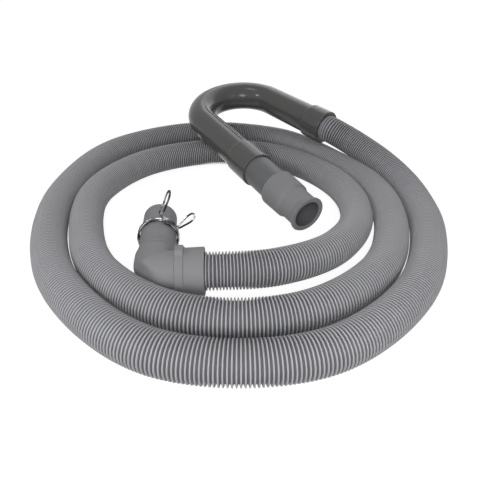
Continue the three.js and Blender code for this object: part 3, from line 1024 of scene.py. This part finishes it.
class DRAINHOSE_OT_gooseneck(Operator):
    """Rigid hooked pipe with a sleeve for the hose, a socket for the outlet tube and a mould seam"""
    bl_idname = "drainhose.gooseneck"
    bl_label = "Gooseneck"

    def execute(self, context):
        settings = context.scene.drain_hose_fittings
        line = HookLine()
        end = line.length
        outer = PIPE_OUTER / 2
        bore = outer - PIPE_WALL
        hose_stop = HOSE_IN_SLEEVE + SEAT_GAP
        tube_stop = end - SOCKET_DEPTH - SEAT_GAP
        corners = [
            (0, SLEEVE_OUTER / 2, SLEEVE_EDGE),
            (SLEEVE_LENGTH, SLEEVE_OUTER / 2, PIPE_EDGE),
            (SLEEVE_LENGTH + STEP_SLOPE, outer, PIPE_EDGE),
            (end - SOCKET_LENGTH - STEP_SLOPE, outer, PIPE_EDGE),
            (end - SOCKET_LENGTH, SOCKET_OUTER / 2, PIPE_EDGE),
            (end, SOCKET_OUTER / 2, PIPE_EDGE),
            (end, OUTLET_SEAT, SEAT_EDGE),
            (tube_stop, OUTLET_SEAT, SEAT_CORNER),
            (tube_stop, bore, SEAT_CORNER),
            (hose_stop, bore, SEAT_CORNER),
            (hose_stop, HOSE_SEAT, SEAT_CORNER),
            (0, HOSE_SEAT, SEAT_EDGE),
        ]
        groove_from = SLEEVE_LENGTH / 2 + GROOVE_START
        groove_to = end - RETURN_LEG + GROOVE_END
        turn = math.radians(GROOVE_TURN)

        def seam(distance, angle, radius):
            """The mould seam: a groove on the inner top of the bend and of the leg up to the socket."""
            if radius < outer - RADIUS_TOLERANCE:
                return 0
            off = abs(math.remainder(angle - turn, math.tau)) * outer
            begun = eased(distance, groove_from, groove_from + GROOVE_RUN_IN)
            left = 1 - eased(distance, groove_to - GROOVE_RUN_OUT, groove_to)
            across = 1 - eased(off, GROOVE_HALF_FLOOR, GROOVE_HALF_WIDTH)
            # The groove's depth also sets the painted shade at its bottom
            return -GROOVE_HALF_WIDTH * (begun * left) * across

        angles = angles_with_strip(settings.round_sides, turn, GROOVE_STRIP / outer)
        pipe = skin("gooseneck", corners, line, settings, HOSE_SEAT, seam, angles)
        finished(pipe, "gooseneck_pipe", glossy_plastic(settings))
        return {"FINISHED"}


class DRAINHOSE_OT_outlet(Operator):
    """Plain tube between the gooseneck's socket and the adaptor"""
    bl_idname = "drainhose.outlet"
    bl_label = "Outlet tube"

    def execute(self, context):
        settings = context.scene.drain_hose_fittings
        line = HookLine()
        start = line.length - SOCKET_DEPTH
        end = line.length + OUTLET_SHOWN + OUTLET_IN_ADAPTOR
        outer = OUTLET_OUTER / 2
        bore = outer - OUTLET_WALL
        places = ((start, outer), (end, outer), (end, bore), (start, bore))
        corners = [(*place, OUTLET_EDGE) for place in places]
        tube = skin("outlet", corners, line, settings, bore)
        finished(tube, "outlet_tube", satin_plastic(settings))
        return {"FINISHED"}


class DRAINHOSE_OT_adaptor(Operator):
    """Rubber end adaptor: a tapered body, a narrower neck and a flared lip round the open mouth"""
    bl_idname = "drainhose.adaptor"
    bl_label = "End adaptor"

    def execute(self, context):
        settings = context.scene.drain_hose_fittings
        line = HookLine()
        start = line.length + OUTLET_SHOWN
        neck = start + ADAPTOR_BODY
        end = neck + ADAPTOR_NOSE
        stop = start + OUTLET_IN_ADAPTOR + SEAT_GAP
        corners = [
            (start, ADAPTOR_OUTER / 2, ADAPTOR_BODY_EDGES[0]),
            (neck - WAIST_FROM_NECK, ADAPTOR_WAIST / 2, ADAPTOR_BODY_EDGES[1]),
            (neck + LIP_EDGE, ADAPTOR_NECK / 2, ADAPTOR_NECK_EDGES[0]),
            (end - LIP_LENGTH, ADAPTOR_NECK / 2, ADAPTOR_NECK_EDGES[1]),
            (end - LIP_CROWN_FROM_END, LIP_OUTER / 2, LIP_EDGES[0]),
            (end, LIP_OUTER / 2 - LIP_END_LOWER, LIP_EDGES[1]),
            (end, ADAPTOR_NECK_BORE / 2, LIP_EDGES[2]),
            (stop, ADAPTOR_NECK_BORE / 2, ADAPTOR_STOP_EDGE),
            (stop, OUTLET_SEAT, SEAT_CORNER),
            (start, OUTLET_SEAT, SEAT_EDGE),
        ]
        cap = skin("adaptor", corners, line, settings, ADAPTOR_NECK_BORE / 2)
        finished(cap, "end_adaptor", moulded_rubber("Grey rubber, adaptor", settings))
        return {"FINISHED"}


# Stage

def seen_directly(tree):
    """1 for what the camera sees, directly, in a gloss or through glass."""
    path = tree.add("ShaderNodeLightPath")
    direct = path.output("Is Camera Ray")
    mirrored = path.output("Is Glossy Ray").math("MAXIMUM", path.output("Is Transmission Ray"))
    return direct.math("MAXIMUM", mirrored)


def floor_mesh(radius):
    """A round floor, and just over it a narrow strip with its painted shade, in the gap between two
    turns.
    """
    places = [heading(angle) * radius for angle in range(0, 360, FLOOR_STEP)]
    faces = [tuple(range(len(places)))]
    shade = [0] * len(places)
    strip_start = len(places)
    rows = len(GAP_ROWS)
    turned = COIL_START_ANGLE
    route = hose_route(HookLine(), ElbowLine())
    for middle, further in zip(route, route[1:]):
        ray = middle - COIL_MIDDLE
        turned += math.remainder(math.degrees(math.atan2(ray.y, ray.x)) - turned, 360)
        if not GAP_START[0] < turned < GAP_END[1]:
            continue
        way = further - middle
        inward = Vector((-way.y, way.x, 0)).normalized()
        # Painted shade, fading in and out round the coil
        dark = GAP_PAINTED_SHADE * eased(turned, *GAP_START) * (1 - eased(turned, *GAP_END))
        before = len(places) - rows
        for offset, share in GAP_ROWS:
            places.append((Vector((middle.x, middle.y, GAP_LIFT)) + inward * offset) * MM)
            shade.append(dark * share)
        if before >= strip_start:
            edges = range(before, before + rows - 1)
            faces += [(k, k + 1, k + rows + 1, k + rows) for k in edges]
    mesh = bpy.data.meshes.new("floor")
    mesh.from_pydata(places, [], faces)
    mesh.attributes.new("shade", "FLOAT", "POINT").data.foreach_set("value", shade)
    return mesh


def pale_floor():
    """White with a soft shadow and, in one gap, a painted shade to the camera, and grey where it lights
    the pieces from below.
    """
    finish = Finish("Pale floor")
    bounce = finish.add("ShaderNodeBsdfDiffuse", None, {"Color": grey(FLOOR_BOUNCE)})
    paper = finish.add("ShaderNodeBsdfDiffuse", None, {"Color": grey(FLOOR_PAPER)})
    far_out = finish.add("ShaderNodeVectorMath", {"operation": "LENGTH"}, {0: finish.place}, "Value")
    # The glow is dimmed where the strip's painted shade lies
    level = far_out.above(*FLOOR_FADE).scaled(FLOOR_GLOW, 1) * (1 - finish.attribute("shade"))
    glow = finish.add("ShaderNodeEmission", None, {"Color": grey(1), "Strength": level})
    white = finish.add("ShaderNodeAddShader", None, {0: paper, 1: glow})
    values = {"Fac": seen_directly(finish), 1: bounce, 2: white}
    return finish.shown(finish.add("ShaderNodeMixShader", None, values))


def bright_room(level):
    """White to the camera, and dim where it lights the pieces."""
    room = bpy.data.worlds.new("room")
    room.use_nodes = True
    tree = Tree(room.node_tree)
    values = {"Color": grey(1), "Strength": seen_directly(tree).scaled(level, 1)}
    sky = tree.add("ShaderNodeBackground", None, values)
    tree.add("ShaderNodeOutputWorld", None, {"Surface": sky})
    return room


def lamp(name, place, aim, size, power):
    light = bpy.data.lights.new(name, "AREA")
    light.shape = "DISK"
    light.size = size
    light.energy = power
    holder = placed(name, light)
    holder.location = place
    holder.rotation_euler = (Vector(aim) - Vector(place)).to_track_quat("-Z", "Y").to_euler()
    holder.visible_camera = False


class DRAINHOSE_OT_stage(Operator):
    """Pale floor, soft lamps and the camera"""
    bl_idname = "drainhose.stage"
    bl_label = "Stage"

    def execute(self, context):
        settings = context.scene.drain_hose_stage
        scene = context.scene
        lens = bpy.data.cameras.new("camera")
        lens.sensor_width = CAMERA_SENSOR
        lens.lens = CAMERA_LENS
        camera = placed("camera", lens)
        camera.location = (COIL_MIDDLE + CAMERA_PLACE) * MM
        camera.rotation_euler = (math.radians(CAMERA_TURN), 0, 0)
        scene.camera = camera
        scene.view_settings.view_transform = "Standard"
        mesh = floor_mesh(settings.floor_radius)
        mesh.materials.append(pale_floor())
        floor = placed("floor", mesh)
        scene.world = bright_room(settings.world_level)
        for name, (place, aim, size) in LAMPS.items():
            lamp(name, place, aim, size, getattr(settings, name + "_power"))
        return {"FINISHED"}


# Add-on

class DRAINHOSE_PT_panel(Panel):
    """Lists the pieces of the drain hose and their settings"""
    bl_idname = "DRAINHOSE_PT_panel"
    bl_label = "Drain Hose"
    bl_space_type = "VIEW_3D"
    bl_region_type = "UI"
    bl_category = "Drain Hose"

    def draw(self, context):
        layout = self.layout
        for operator in operators:
            layout.operator(operator.bl_idname)
        for group in ("drain_hose", "drain_hose_fittings", "drain_hose_stage"):
            settings = getattr(context.scene, group)
            box = layout.box()
            for name in settings.__annotations__:
                box.prop(settings, name)


operators = [
    DRAINHOSE_OT_stage,
    DRAINHOSE_OT_gooseneck,
    DRAINHOSE_OT_outlet,
    DRAINHOSE_OT_adaptor,
    DRAINHOSE_OT_elbow,
    DRAINHOSE_OT_clamp,
    DRAINHOSE_OT_hose,
]
classes = [HoseSettings, FittingSettings, StageSettings, *operators, DRAINHOSE_PT_panel]


def register():
    for item in classes:
        bpy.utils.register_class(item)
    bpy.types.Scene.drain_hose = PointerProperty(type=HoseSettings)
    bpy.types.Scene.drain_hose_fittings = PointerProperty(type=FittingSettings)
    bpy.types.Scene.drain_hose_stage = PointerProperty(type=StageSettings)


def unregister():
    del bpy.types.Scene.drain_hose_stage
    del bpy.types.Scene.drain_hose_fittings
    del bpy.types.Scene.drain_hose
    for item in reversed(classes):
        bpy.utils.unregister_class(item)


def main():
    register()
    bpy.ops.drainhose.stage()
    bpy.ops.drainhose.gooseneck()
    bpy.ops.drainhose.outlet()
    bpy.ops.drainhose.adaptor()
    bpy.ops.drainhose.elbow()
    bpy.ops.drainhose.clamp()
    bpy.ops.drainhose.hose()


if __name__ == "__main__":
    main()
